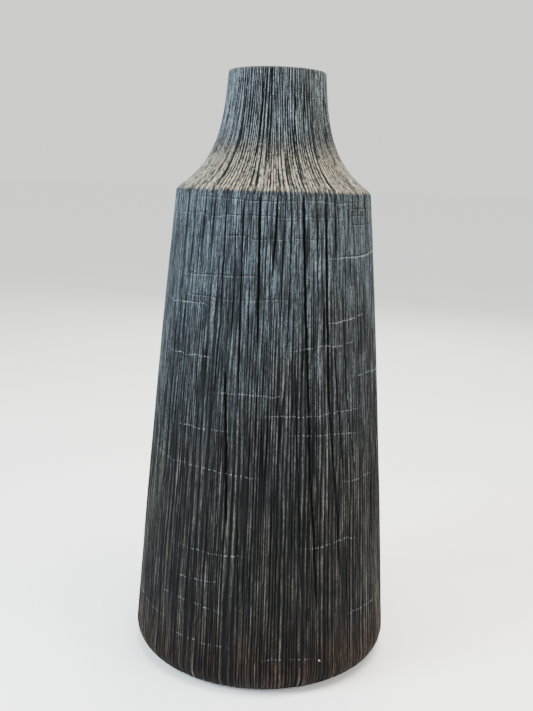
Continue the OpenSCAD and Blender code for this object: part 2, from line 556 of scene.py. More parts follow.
def namedFloat(tree, name):
    return addNode(tree, "GeometryNodeInputNamedAttribute", {"Name": name}, data_type="FLOAT").outputs[0]


def capture(tree, geometry, kind, value):
    node = addNode(tree, "GeometryNodeCaptureAttribute", {"Geometry": geometry})
    node.capture_items.new(kind, "Kept")
    plug(tree, node.inputs["Kept"], value)
    return node.outputs["Geometry"], node.outputs["Kept"]


def onEdges(tree, value):
    return addNode(tree, "GeometryNodeFieldOnDomain", {0: value}, domain="EDGE").outputs[0]


def sampleNearest(tree, guide, point, name):
    nearest = addNode(tree, "GeometryNodeSampleNearest", {"Geometry": guide, "Sample Position": point})
    plugs = {"Geometry": guide, "Value": namedFloat(tree, name), "Index": nearest.outputs[0]}
    return addNode(tree, "GeometryNodeSampleIndex", plugs, data_type="FLOAT").outputs[0]


def combLines(tree, wavering, lines, spread, amount):
    # parallel lines round the pot, pushed together and apart by a noise
    parts = addNode(tree, "ShaderNodeSeparateXYZ", {"Vector": wavering}).outputs
    turn = times(tree, calc(tree, "ARCTAN2", parts["Y"], parts["X"]), lines)
    return calc(tree, "SINE", plus(tree, turn, times(tree, spread, amount)))


def bodyRelief(tree, sizes, aim, wavering, height):
    # comb lines, uneven in pitch and in strength, with thin cracks between them
    rules = reliefRules
    shift = times(tree, sizes["Seed"], rules["seedStep"])
    spread = streaks(tree, aim, height, *rules["pitch"], shift=shift)
    wave = combLines(tree, wavering, sizes["Comb Lines"], spread, sizes["Comb Spread"])
    lower = ramp(tree, height, shoulderHeight, rules["lowerShare"] * shoulderHeight)
    wave = times(tree, wave, ramp(tree, lower, *rules["waveShare"]))
    torn = streaks(tree, wavering, height, rules["tornCells"], sizes["Comb Run"],
                   roughness=rules["tornRoughness"], shift=shift)
    comb = plus(tree, wave, times(tree, minus(tree, torn, 0.5), rules["tornShare"]))
    comb = minus(tree, comb, times(tree, lower, rules["sink"]))
    bundle = streaks(tree, aim, height, *rules["bundle"], shift=plus(tree, shift, rules["bundleShift"]))
    strength = times(tree, ramp(tree, bundle, *rules["bundleStrength"]), rules["upperStrength"])
    valleyTop = blendValue(tree, lower, *rules["valleyTop"])
    valley = ramp(tree, comb, valleyTop, blendValue(tree, lower, *rules["valleyBottom"]))
    valley = times(tree, valley, blendValue(tree, lower, strength, 1.0))
    contour = streaks(tree, wavering, height, sizes["Crack Lines"], sizes["Crack Run"],
                      rules["crackDetail"], shift=plus(tree, shift, rules["crackShift"]))
    away = calc(tree, "ABSOLUTE", minus(tree, contour, 0.5))
    opened = streaks(tree, wavering, height, *rules["crackOpen"], detail=0.0,
                     shift=plus(tree, shift, rules["crackOpenShift"]))
    crack = ramp(tree, away, rules["crackWidth"], 0.0)
    crack = times(tree, crack, ramp(tree, opened, *rules["crackOpenRamp"]))
    return comb, valley, crack


def neckRelief(tree, sizes, aim, wavering, height):
    # the same comb on the neck, with short wrinkles where it flares
    rules = reliefRules
    shift = plus(tree, times(tree, sizes["Seed"], rules["seedStep"]), rules["neckShift"])
    spread = streaks(tree, aim, height, *rules["neckPitch"], shift=shift)
    wave = combLines(tree, wavering, sizes["Neck Lines"], spread, sizes["Comb Spread"])
    wave = times(tree, wave, rules["neckWave"])
    torn = streaks(tree, wavering, height, rules["neckTornCells"], sizes["Neck Run"],
                   roughness=rules["neckTornRoughness"], shift=shift)
    comb = plus(tree, wave, times(tree, minus(tree, torn, 0.5), rules["neckTornShare"]))
    return comb, ramp(tree, comb, *rules["neckCrease"]), ramp(tree, wave, *rules["neckTeeth"])


def combTree():
    rules = reliefRules
    tree = bpy.data.node_groups.new("combedSection", "GeometryNodeTree")
    tree.is_modifier = True
    inputs = [("Outline", "NodeSocketGeometry", None), ("Cut Guide", "NodeSocketObject", None)]
    inputs += [(name, socketKinds[type(value)], value) for name, value in combMarks.items()]
    inputs.append(("Clay", "NodeSocketMaterial", None))
    sizes, finished = newSockets(tree, inputs, [("Section", "NodeSocketGeometry")])

    # sweep the outline round a circle, keeping each point's place in the outline and its direction
    position = addNode(tree, "GeometryNodeInputPosition").outputs[0]
    rank = addNode(tree, "GeometryNodeInputIndex").outputs[0]
    profile = addNode(tree, "GeometryNodeMeshToCurve", {"Mesh": sizes["Outline"]}).outputs[0]
    profile, place = capture(tree, profile, "VECTOR", position)
    profile, order = capture(tree, profile, "FLOAT", rank)
    circle = addNode(tree, "GeometryNodeCurvePrimitiveCircle",
                     {"Resolution": sizes["Steps Around"], "Radius": 1.0}).outputs["Curve"]
    circle, aim = capture(tree, circle, "VECTOR", position)
    plugs = {"Curve": circle, "Profile Curve": profile}
    swept = addNode(tree, "GeometryNodeCurveToMesh", plugs).outputs[0]
    parts = addNode(tree, "ShaderNodeSeparateXYZ", {"Vector": place}).outputs
    radius = parts["X"]
    height = parts["Z"]

    # every line wanders a little on its way down
    drift = streaks(tree, aim, height, *rules["drift"])
    turn = times(tree, minus(tree, drift, 0.5), sizes["Wander"])
    wavering = addNode(tree, "ShaderNodeVectorRotate", {"Vector": aim, "Angle": turn},
                       rotation_type="Z_AXIS").outputs[0]
    comb, valley, crack = bodyRelief(tree, sizes, aim, wavering, height)
    wrinkle, crease, teeth = neckRelief(tree, sizes, aim, wavering, height)
    aboveEdge = minus(tree, height, sizes["Shoulder Height"])
    onNeck = ramp(tree, aboveEdge, 0.0, sizes["Edge Blend"])
    bodyDepth = plus(tree, times(tree, valley, sizes["Comb Depth"]),
                     times(tree, crack, sizes["Crack Depth"]))
    neckDepth = times(tree, crease, sizes["Neck Depth"])
    marks = blendValue(tree, onNeck, bodyDepth, neckDepth)

    # long cuts: a narrow crease with soft shoulders
    outward = vectorCalc(tree, "SCALE", aim, radius)
    upward = addNode(tree, "ShaderNodeCombineXYZ", {"Z": height}).outputs[0]
    skin = vectorCalc(tree, "ADD", outward, upward)
    guide = addNode(tree, "GeometryNodeObjectInfo", {"Object": sizes["Cut Guide"]}).outputs["Geometry"]
    away = addNode(tree, "GeometryNodeProximity", {0: guide, "Sample Position": skin},
                   target_element="EDGES").outputs["Distance"]
    halfWidth = sampleNearest(tree, guide, skin, "cutWidth")
    cutDepth = sampleNearest(tree, guide, skin, "cutDepth")
    share = over(tree, away, halfWidth)
    core = ramp(tree, share, *rules["cutCore"])
    cut = plus(tree, times(tree, core, rules["cutCoreShare"]), ramp(tree, share, *rules["cutShoulder"]))
    marks = larger(tree, marks, times(tree, cut, cutDepth))

    # broad unevenness and one knock, both inwards only
    lumps = streaks(tree, aim, height, *rules["lumps"], shift=rules["lumpShift"])
    plugs = {0: skin, 1: sizes["Dent Place"]}
    fromKnock = addNode(tree, "ShaderNodeVectorMath", plugs, operation="DISTANCE").outputs["Value"]
    dent = ramp(tree, over(tree, fromKnock, sizes["Dent Size"]), 1.0, 0.0)
    marks = plus(tree, marks, times(tree, lumps, sizes["Unevenness"]))
    marks = plus(tree, marks, times(tree, dent, sizes["Dent Depth"]))
    combed = namedFloat(tree, "combed")
    inward = times(tree, marks, combed)

    # the finished skin, whose shoulder edge drops where a groove runs over it
    beside = calc(tree, "ABSOLUTE", aboveEdge)
    nearEdge = times(tree, ramp(tree, beside, sizes["Edge Blend"], 0.0), combed)
    notch = times(tree, larger(tree, teeth, core), nearEdge)
    worn = times(tree, ramp(tree, beside, rules["wearReach"], 0.0), sizes["Edge Wear"])
    worn = times(tree, worn, combed)
    drop = plus(tree, times(tree, notch, sizes["Edge Notch"]), worn)
    inward = plus(tree, inward, worn)
    pressed = vectorCalc(tree, "SCALE", aim, minus(tree, radius, inward))
    drop = minus(tree, height, drop)
    dropped = addNode(tree, "ShaderNodeCombineXYZ", {"Z": drop}).outputs[0]
    pressed = vectorCalc(tree, "ADD", pressed, dropped)
    plugs = {"Geometry": swept, "Position": pressed}
    section = addNode(tree, "GeometryNodeSetPosition", plugs).outputs[0]
    # ridge tops, which the clay material paints lighter: partly rubbed clay, partly painted highlight
    neckRidge = ramp(tree, wrinkle, *rules["neckRidge"])
    ridge = blendValue(tree, onNeck, ramp(tree, comb, *rules["ridge"]), neckRidge)
    # grooves, shoulder notches, cracks and cuts, which the clay material paints near black as painted shade
    groove = larger(tree, blendValue(tree, onNeck, valley, crease), notch)
    deep = times(tree, core, over(tree, cutDepth, rules["cutDarkDepth"]))
    deep = larger(tree, deep, times(tree, crack, minus(tree, 1.0, onNeck)))
    for label, value in (("ridge", ridge), ("groove", groove), ("cut", deep)):
        value = calc(tree, "MULTIPLY", value, combed, True)
        plugs = {"Geometry": section, "Name": label, "Value": value}
        store = addNode(tree, "GeometryNodeStoreNamedAttribute", plugs, data_type="FLOAT")
        section = store.outputs[0]

    # rings of edges at a corner of the outline stay sharp
    along = calc(tree, "FRACT", onEdges(tree, order))
    corner = onEdges(tree, namedFloat(tree, "corner"))
    sharp = times(tree, calc(tree, "GREATER_THAN", corner, rules["cornerLeast"]),
                  calc(tree, "LESS_THAN", along, rules["alongMost"]))
    plugs = {"Geometry": section, "Selection": sharp, "Shade Smooth": False}
    section = addNode(tree, "GeometryNodeSetShadeSmooth", plugs, domain="EDGE").outputs[0]
    plugs = {"Geometry": section, "Distance": rules["mergeGap"]}
    section = addNode(tree, "GeometryNodeMergeByDistance", plugs).outputs[0]
    section = addNode(tree, "GeometryNodeRealizeInstances", {"Geometry": section}).outputs[0]
    plugs = {"Geometry": section, "Material": sizes["Clay"]}
    section = addNode(tree, "GeometryNodeSetMaterial", plugs).outputs[0]
    plug(tree, finished["Section"], section)
    return tree


def setInput(modifier, name, value):
    for item in modifier.node_group.interface.items_tree:
        if item.item_type == "SOCKET" and item.in_out == "INPUT" and item.name == name:
            modifier[item.identifier] = value


def combedSection(name, line, closed, tree, guide, clay):
    section = outlineObject(name, line, closed)
    modifier = section.modifiers.new("comb", "NODES")
    modifier.node_group = tree
    for label, value in combMarks.items():
        setInput(modifier, label, value)
    setInput(modifier, "Cut Guide", guide)
    setInput(modifier, "Clay", clay)
    evaluated = section.evaluated_get(bpy.context.evaluated_depsgraph_get())
    mesh = bpy.data.meshes.new_from_object(evaluated)
    section.modifiers.clear()
    section.data = mesh
    mesh.name = name
    shell = bmesh.new()
    shell.from_mesh(mesh)
    bmesh.ops.recalc_face_normals(shell, faces=shell.faces)
    shell.to_mesh(mesh)
    shell.free()
    print("made", name, "with", sum(len(p.vertices) - 2 for p in mesh.polygons), "triangles")
    return section


# noise detail and roughness, and ramps, in the shader groups
textureRules = {
    "fibre": (2.0, 0.55),
    "grain": (3.0, 0.6),
    "pit": (0.16, 0.08),
    "ring": (2.0, 0.6),
    "ringBend": 12.0,            # how much the turning rings wobble round the pot
    "scratchWaver": 0.007,
    "scratchEdge": (1.0, 0.4),
    "scratchFade": (1.0, 0.45),
}


def shaderGroup(name, inputs, outputs):
    tree = bpy.data.node_groups.new(name, "ShaderNodeTree")
    sizes, results = newSockets(tree, inputs, outputs)
    return tree, sizes, results


def useGroup(tree, group, plugs=None):
    node = addNode(tree, "ShaderNodeGroup", node_tree=group)
    for name, value in (plugs or {}).items():
        plug(tree, node.inputs[name], value)
    return node.outputs


def potCoordinates():
    # direction from the axis, height, and angle from the front to the right in degrees
    tree, sizes, results = shaderGroup(
        "potCoordinates", [("Position", "NodeSocketVector", None)],
        [("Aim", "NodeSocketVector"), ("Height", "NodeSocketFloat"), ("Angle", "NodeSocketFloat")])
    flat = vectorCalc(tree, "MULTIPLY", sizes["Position"], (1, 1, 0))
    aim = addNode(tree, "ShaderNodeVectorMath", {0: flat}, operation="NORMALIZE").outputs[0]
    parts = addNode(tree, "ShaderNodeSeparateXYZ", {"Vector": sizes["Position"]}).outputs
    angle = calc(tree, "ARCTAN2", parts["X"], times(tree, parts["Y"], -1.0))
    plug(tree, results["Aim"], aim)
    plug(tree, results["Height"], parts["Z"])
    plug(tree, results["Angle"], calc(tree, "DEGREES", angle))
    return tree


def fibreLines():
    # fine drawn-out streaks, as a value round 0.5
    tree, sizes, results = shaderGroup(
        "fibreLines",
        [("Aim", "NodeSocketVector", None), ("Height", "NodeSocketFloat", 0.0),
         ("Lines", "NodeSocketFloat", 600.0), ("Run", "NodeSocketFloat", 0.02),
         ("Shift", "NodeSocketFloat", 0.0)],
        [("Lines", "NodeSocketFloat")])
    value = streaks(tree, sizes["Aim"], sizes["Height"], sizes["Lines"], sizes["Run"],
                    *textureRules["fibre"], sizes["Shift"])
    plug(tree, results["Lines"], value)
    return tree


def levelScratch():
    # one thin level line that fades in and out between two angles
    tree, sizes, results = shaderGroup(
        "levelScratch",
        [("Height", "NodeSocketFloat", 0.0), ("Angle", "NodeSocketFloat", 0.0),
         ("Waver", "NodeSocketFloat", 0.5), ("Level", "NodeSocketFloat", 0.1),
         ("Tilt", "NodeSocketFloat", 0.0), ("From", "NodeSocketFloat", -30.0),
         ("To", "NodeSocketFloat", 30.0), ("Thickness", "NodeSocketFloat", 0.0003)],
        [("Mask", "NodeSocketFloat")])
    middle = times(tree, plus(tree, sizes["From"], sizes["To"]), 0.5)
    half = times(tree, minus(tree, sizes["To"], sizes["From"]), 0.5)
    beside = minus(tree, sizes["Angle"], middle)
    level = plus(tree, sizes["Level"], times(tree, beside, sizes["Tilt"]))
    waver = times(tree, minus(tree, sizes["Waver"], 0.5), textureRules["scratchWaver"])
    level = plus(tree, level, waver)
    off = calc(tree, "ABSOLUTE", minus(tree, sizes["Height"], level))
    line = ramp(tree, over(tree, off, sizes["Thickness"]), *textureRules["scratchEdge"])
    reachOut = over(tree, calc(tree, "ABSOLUTE", beside), half)
    fade = ramp(tree, reachOut, *textureRules["scratchFade"])
    plug(tree, results["Mask"], times(tree, line, fade))
    return tree


def clayGrain():
    # gritty clay body: fine grain and scattered pits
    tree, sizes, results = shaderGroup(
        "clayGrain",
        [("Position", "NodeSocketVector", None), ("Grain Size", "NodeSocketFloat", 0.0006),
         ("Pit Size", "NodeSocketFloat", 0.003)],
        [("Grain", "NodeSocketFloat"), ("Pits", "NodeSocketFloat")])
    grainScale = over(tree, 1.0, sizes["Grain Size"])
    pitScale = over(tree, 1.0, sizes["Pit Size"])
    cells = addNode(tree, "ShaderNodeTexVoronoi", {"Vector": sizes["Position"], "Scale": pitScale})
    plug(tree, results["Grain"], noise(tree, sizes["Position"], grainScale, *textureRules["grain"]))
    plug(tree, results["Pits"], ramp(tree, cells.outputs["Distance"], *textureRules["pit"]))
    return tree


def turningRings():
    # level rings left where the clay was turned and never combed
    tree, sizes, results = shaderGroup(
        "turningRings", [("Position", "NodeSocketVector", None), ("Gap", "NodeSocketFloat", 0.0014)],
        [("Rings", "NodeSocketFloat")])
    parts = addNode(tree, "ShaderNodeSeparateXYZ", {"Vector": sizes["Position"]}).outputs
    flat = vectorCalc(tree, "MULTIPLY", sizes["Position"], (1, 1, 0))
    across = addNode(tree, "ShaderNodeVectorMath", {0: flat}, operation="LENGTH").outputs["Value"]
    along = over(tree, plus(tree, across, parts["Z"]), sizes["Gap"])
    ringed = addNode(tree, "ShaderNodeCombineXYZ", {"Z": along}).outputs[0]
    near = vectorCalc(tree, "SCALE", sizes["Position"], textureRules["ringBend"])
    ringed = vectorCalc(tree, "ADD", near, ringed)
    plug(tree, results["Rings"], noise(tree, ringed, 1.0, *textureRules["ring"]))
    return tree


def newMaterial(name):
    material = bpy.data.materials.new(name)
    material.use_nodes = True
    tree = material.node_tree
    tree.nodes.clear()
    shader = tree.nodes.new("ShaderNodeBsdfPrincipled")
    output = tree.nodes.new("ShaderNodeOutputMaterial")
    tree.links.new(shader.outputs[0], output.inputs["Surface"])
    position = addNode(tree, "ShaderNodeTexCoord").outputs["Object"]
    return material, tree, shader, position


def attributeValue(tree, name):
    return addNode(tree, "ShaderNodeAttribute", attribute_name=name).outputs["Fac"]


clayLooks = {
    # colours by height: partly the clay's own tone, partly painted shade that darkens the lower body and
    # painted warm reflected light that browns the foot; the upper slate's blue cast is partly painted cool
    # light
    "upper": (0.0222, 0.0282, 0.0318, 1),     # slate of the upper body
    "lower": (0.0100, 0.0096, 0.0080, 1),
    "foot": (0.0116, 0.0062, 0.0034, 1),
    "neck": (0.044, 0.052, 0.057, 1),
    "ridge": (0.098, 0.092, 0.076, 1),        # lighter tops of the comb lines: partly rubbed clay, partly painted highlight
    "flare": (0.25, 0.21, 0.145, 1),          # pale on the flare of the neck: partly dust, partly painted light on its upward face
    # near black: painted shade in the grooves, cracks, cuts and hairlines, and a random darker tone of the
    # bare clay
    "groove": (0.0010, 0.0012, 0.0016, 1),
    # pale grey of the flecks and scratch dashes, also the painted highlight under each hairline
    "scratch": (0.16, 0.175, 0.18, 1),
    "chip": (0.6, 0.58, 0.54, 1),
    "bare": (0.026, 0.0235, 0.0215, 1),       # uncombed clay inside the mouth and under the foot
    "shine": 0.11,
}
# streaks: lines round the pot, run in metres and shift of the noise
clayStreaks = {
    "fine": {"Lines": 1000.0, "Run": 0.03},
    "broad": {"Lines": 120.0, "Run": 0.07, "Shift": 9.0},
    "strand": {"Lines": 480.0, "Run": 0.014, "Shift": 3.0},
    "speckle": {"Lines": 480.0, "Run": 0.0020, "Shift": 5.0},
}
# noises: scale, detail and roughness
clayNoises = {"patch": (22.0, 3.0, 0.6), "fleck": (34.0, 1.0), "waver": (45.0, 3.0, 0.6)}
# ramps: from, to, and the values there when they aren't 0 and 1
clayTones = {
    "fine": (0.34, 0.66, 0.4, 1.6),
    "strand": (0.36, 0.64, 0.3, 1.8),
    "speckle": (0.38, 0.62, 0.6, 1.4),
    "grain": (0.35, 0.65, 0.65, 1.35),
}
clayRamps = {
    "footHeight": (0.012, 0.06),
    "upperHeight": (0.08, 0.28),
    "neckHeight": (shoulderHeight + 0.02, shoulderHeight + 0.04),
    "broad": (0.3, 0.7, 0.85, 1.15),
    "patch": (0.3, 0.7, -0.15, 0.15),
    "rubAndHighlightHeight": (0.26, 0.12, 0.25, 0.75),
    "rubAndHighlightStrand": (0.34, 0.58),
    "rubAndHighlightFine": (0.42, 0.57, 0.15, 1.0),
    "rubAndHighlightSpeckle": (0.38, 0.56, 0.4, 1.0),
    "dustAndLightBottom": (shoulderHeight - 0.0009, shoulderHeight + 0.0006),
    "dustAndLightTop": (shoulderHeight + 0.034, shoulderHeight + 0.012),
    "dustAndLightFine": (0.36, 0.6, 0.35, 1.0),
    "dustAndLightSpeckle": (0.42, 0.57, 0.1, 1.0),
    "lipHeight": (topHeight - 0.0016, topHeight - 0.0004),
    "lipDustAndHighlightPatch": (0.42, 0.62, 0.1, 0.5),
    "fleckNoise": (0.52, 0.66),
    "fleckHeight": (0.16, 0.25),
    "scrapeGroove": (0.35, 0.05),
    "scrapeStrand": (0.24, 0.42, 0.2, 1.0),
    "hairPatch": (0.38, 0.55, 0.3, 1.0),
    "lightStrand": (0.4, 0.55),
    "cut": (0.05, 0.6),
    "plainPatch": (0.35, 0.65, 0.0, 0.4),
    "plainRings": (0.35, 0.65, 0.6, 1.35),
    "plainGrain": (0.35, 0.65, 0.7, 1.3),
    "roughGroove": (0.0, 1.0, 0.62, 0.9),
    "roughGrain": (0.3, 0.7, -0.08, 0.08),
}
clayShares = {"dustAndLight": 0.8, "hair": 0.7, "hairHighlight": 0.35, "scrape": 0.7, "fleck": 0.5, "chip": 0.7}
clayBump = {"fine": 0.6, "grain": 0.25, "pits": 0.2, "scratch": 0.5, "rings": 0.7, "strength": 0.9}
scratchWidths = {"scrape": 0.34 * mm, "hair": 0.45 * mm, "hairHighlight": 0.3 * mm, "chip": 0.4 * mm}
tiltSpan = 10                    # degrees over which a scratch rises by its tilt
hairHighlightDrop = 0.7 * mm         # the painted highlight on a hairline's lower lip lies this far below it
bumpDistance = 0.4 * mm
fleckSize = 0.0032
# level in millimetres, tilt in millimetres over ten degrees, from and to in degrees
scratches = [
    (224, 0.2, -70, -40), (218, 0.9, 25, 60), (203, 0.9, 8, 52), (195, 0.0, -62, -26),
    (184, 0.0, 44, 85), (176, 0.1, -30, 10), (165, 0.0, -6, 60), (154.5, 0.1, -56, -8),
    (152.5, -0.9, 8, 54), (132, -0.6, -72, 2),
    (124, -0.3, 38, 66), (253, 0.9, 26, 94), (89, 0.0, 12, 52), (84, -0.3, -46, -2),
    (66, 0.3, -44, -16), (52, -0.9, -58, -12), (43, 0.0, 40, 70), (38, -1.4, -80, -46),
    (30, 0.0, -44, -10), (23, 0.0, 0, 26), (141, 0.2, 100, 150), (207, -0.5, 120, 165),
    (96, 0.5, 90, 135), (176, 0.3, -150, -105), (61, -0.4, -140, -95), (233, 0.2, -130, -85),
]
chips = [(21, -6, 26.2, 27.5), (327, 0, 66, 67.5)]
hairlines = [
    (283, 0, -60, 75), (274, 0, -75, 60), (262, 0, -40, 40), (254, 0.9, 34, 85), (241, 0, -60, 5),
    (229, 0, -60, 20), (283, 0, 110, 250), (268, 0, 130, 230), (247, 0, 95, 190), (340, 0, 22, 88),
    (313, 0, 40, 86), (279, -0.3, 42, 72), (275, 0.3, 40, 66), (270, 0.2, 44, 74),
    (225, -0.5, -64, -22), (331, 0.2, 150, 215), (309, 0, -130, -80),
]


def scratchMask(tree, group, lines, height, angle, waver, kind):
    mask = 0.0
    for level, tilt, start, end in lines:
        plugs = {"Height": height, "Angle": angle, "Waver": waver, "Level": level * mm,
                 "Tilt": tilt * mm / tiltSpan, "From": start, "To": end, "Thickness": scratchWidths[kind]}
        mask = larger(tree, useGroup(tree, group, plugs)["Mask"], mask)
    return mask


def combedStoneware(groups):
    material, tree, shader, position = newMaterial("combedStoneware")
    where = useGroup(tree, groups["coordinates"], {"Position": position})
    aim, height, angle = where["Aim"], where["Height"], where["Angle"]
    marks = ("ridge", "groove", "cut", "combed")
    ridge, groove, cut, combed = [attributeValue(tree, name) for name in marks]

    def limited(value, name):
        return ramp(tree, value, *clayRamps[name])

    lines = {name: useGroup(tree, groups["fibres"], {"Aim": aim, "Height": height, **plugs})["Lines"]
             for name, plugs in clayStreaks.items()}
    patch = noise(tree, position, *clayNoises["patch"])
    grit = useGroup(tree, groups["grain"], {"Position": position})
    lines["grain"] = grit["Grain"]

    # ground colour by height, darker towards the bottom and brown at the foot: partly the clay's own tone,
    # partly painted shade low down and painted warm reflected light at the foot
    tint = blendTint(tree, limited(height, "footHeight"), clayLooks["foot"], clayLooks["lower"])
    tint = blendTint(tree, limited(height, "upperHeight"), tint, clayLooks["upper"])
    tint = blendTint(tree, limited(height, "neckHeight"), tint, clayLooks["neck"])
    tone = plus(tree, limited(lines["broad"], "broad"), limited(patch, "patch"))
    for name, limits in clayTones.items():
        tone = times(tree, tone, ramp(tree, lines[name], *limits))
    tint = vectorCalc(tree, "SCALE", tint, tone)

    # lighter ridge tops, more of them lower down: partly rubbed clay, partly painted highlight
    rubbedAndHighlit = times(tree, ridge, limited(height, "rubAndHighlightHeight"))
    for name, ramped in (("strand", "rubAndHighlightStrand"), ("fine", "rubAndHighlightFine"), ("speckle", "rubAndHighlightSpeckle")):
        rubbedAndHighlit = times(tree, rubbedAndHighlit, limited(lines[name], ramped))
    tint = blendTint(tree, rubbedAndHighlit, tint, clayLooks["ridge"])

    # pale on the flare and in patches on the lip: partly dust, partly painted light on the flare's upward
    # face and painted highlight along the lip's edge
    dustAndLight = times(tree, limited(height, "dustAndLightBottom"), limited(height, "dustAndLightTop"))
    dustAndLight = times(tree, dustAndLight, limited(lines["fine"], "dustAndLightFine"))
    dustAndLight = times(tree, dustAndLight, limited(lines["speckle"], "dustAndLightSpeckle"))
    # pale patches on the lip's top edge: partly dust, partly painted highlight
    lipDustAndHighlight = times(tree, limited(height, "lipHeight"), limited(patch, "lipDustAndHighlightPatch"))
    dustAndLight = larger(tree, times(tree, dustAndLight, clayShares["dustAndLight"]), times(tree, lipDustAndHighlight, lines["fine"]))
    tint = blendTint(tree, dustAndLight, tint, clayLooks["flare"])

    # painted shade in the grooves, cracks, cuts and hairlines, a painted highlight under each hairline, and
    # pale dashes where level scratches cross the ridge tops
    waver = noise(tree, position, *clayNoises["waver"])
    scrape = scratchMask(tree, groups["scratch"], scratches, height, angle, waver, "scrape")
    scrape = times(tree, scrape, limited(groove, "scrapeGroove"))
    scrape = times(tree, scrape, limited(lines["strand"], "scrapeStrand"))
    # hairlines: a dark line of painted shade, and just below it a pale line of painted highlight
    hair = scratchMask(tree, groups["scratch"], hairlines, height, angle, waver, "hair")
    hair = times(tree, hair, limited(patch, "hairPatch"))
    below = plus(tree, height, hairHighlightDrop)
    hairHighlight = scratchMask(tree, groups["scratch"], hairlines, below, angle, waver, "hairHighlight")
    hairHighlight = times(tree, hairHighlight, limited(lines["strand"], "lightStrand"))
    # painted shade: grooves, cracks, cuts and hairlines made near black
    paintedCreaseShade = larger(tree, groove, limited(cut, "cut"))
    paintedCreaseShade = larger(tree, paintedCreaseShade, times(tree, hair, clayShares["hair"]))
    specks = useGroup(tree, groups["grain"], {"Position": position, "Pit Size": fleckSize})["Pits"]
    fleck = times(tree, specks, limited(noise(tree, position, *clayNoises["fleck"]), "fleckNoise"))
    fleck = times(tree, fleck, limited(height, "fleckHeight"))
    chip = scratchMask(tree, groups["scratch"], chips, height, angle, waver, "chip")
    tint = blendTint(tree, times(tree, hairHighlight, clayShares["hairHighlight"]), tint, clayLooks["scratch"])
    tint = blendTint(tree, paintedCreaseShade, tint, clayLooks["groove"])
    tint = blendTint(tree, times(tree, scrape, clayShares["scrape"]), tint, clayLooks["scratch"])
    tint = blendTint(tree, times(tree, fleck, clayShares["fleck"]), tint, clayLooks["scratch"])
    tint = blendTint(tree, times(tree, chip, clayShares["chip"]), tint, clayLooks["chip"])

    # uncombed clay inside the mouth and under the foot
    rings = useGroup(tree, groups["rings"], {"Position": position})["Rings"]
    plain = blendTint(tree, limited(patch, "plainPatch"), clayLooks["bare"], clayLooks["groove"])
    plainTone = times(tree, limited(rings, "plainRings"), limited(grit["Grain"], "plainGrain"))
    plain = vectorCalc(tree, "SCALE", plain, plainTone)
    plug(tree, shader.inputs["Base Color"], blendTint(tree, combed, plain, tint))

    # the ridges are a little smoother than the torn grooves
    rough = plus(tree, limited(groove, "roughGroove"), limited(grit["Grain"], "roughGrain"))
    plug(tree, shader.inputs["Roughness"], rough)
    shader.inputs["Specular IOR Level"].default_value = clayLooks["shine"]
    lift = times(tree, lines["fine"], clayBump["fine"])
    lift = plus(tree, lift, times(tree, grit["Grain"], clayBump["grain"]))
    lift = minus(tree, lift, times(tree, grit["Pits"], clayBump["pits"]))
    lift = minus(tree, lift, times(tree, larger(tree, hair, scrape), clayBump["scratch"]))
    plainLift = plus(tree, times(tree, rings, clayBump["rings"]), lift)
    lift = blendValue(tree, combed, plainLift, lift)
    plugs = {"Strength": clayBump["strength"], "Distance": bumpDistance, "Height": lift}
    plug(tree, shader.inputs["Normal"], addNode(tree, "ShaderNodeBump", plugs).outputs[0])
    return material


seamLooks = {
    "clay": (0.05, 0.043, 0.038, 1),
    "smear": (0.03, 0.026, 0.024, 1),
    "grainSize": 0.001,
    "smearNoise": (60.0, 2.0),
    "smearRamp": (0.35, 0.65),
    "rough": (0.3, 0.7, 0.75, 0.95),
    "bump": 0.6,
}


def seamClay(groups):
    material, tree, shader, position = newMaterial("seamClay")
    plugs = {"Position": position, "Grain Size": seamLooks["grainSize"]}
    grit = useGroup(tree, groups["grain"], plugs)
    smear = noise(tree, position, *seamLooks["smearNoise"])
    smeared = ramp(tree, smear, *seamLooks["smearRamp"])
    plug(tree, shader.inputs["Base Color"], blendTint(tree, smeared, seamLooks["clay"], seamLooks["smear"]))
    plug(tree, shader.inputs["Roughness"], ramp(tree, grit["Grain"], *seamLooks["rough"]))
    lift = plus(tree, grit["Grain"], smear)
    plugs = {"Strength": seamLooks["bump"], "Distance": bumpDistance, "Height": lift}
    plug(tree, shader.inputs["Normal"], addNode(tree, "ShaderNodeBump", plugs).outputs[0])
    return material


glazeLooks = {
    "thick": (0.006, 0.007, 0.009, 1),
    "thin": (0.03, 0.02, 0.014, 1),
    "grain": {"Grain Size": 0.0015, "Pit Size": 0.006},
    "runs": {"Lines": 40.0, "Run": 0.05},
    "thinRamp": (0.45, 0.7),
    "rough": (0.3, 0.7, 0.1, 0.22),
    "pits": 0.4,
    "bump": 0.4,
}


def linerGlaze(groups):
    # black glaze that breaks brown where it ran thin
    material, tree, shader, position = newMaterial("linerGlaze")
    where = useGroup(tree, groups["coordinates"], {"Position": position})
    grit = useGroup(tree, groups["grain"], {"Position": position, **glazeLooks["grain"]})
    plugs = {"Aim": where["Aim"], "Height": where["Height"], **glazeLooks["runs"]}
    runs = useGroup(tree, groups["fibres"], plugs)["Lines"]
    thin = ramp(tree, runs, *glazeLooks["thinRamp"])
    plug(tree, shader.inputs["Base Color"], blendTint(tree, thin, glazeLooks["thick"], glazeLooks["thin"]))
    plug(tree, shader.inputs["Roughness"], ramp(tree, grit["Grain"], *glazeLooks["rough"]))
    lift = minus(tree, runs, times(tree, grit["Pits"], glazeLooks["pits"]))
    plugs = {"Strength": glazeLooks["bump"], "Distance": bumpDistance, "Height": lift}
    plug(tree, shader.inputs["Normal"], addNode(tree, "ShaderNodeBump", plugs).outputs[0])
    return material


# build the pieces

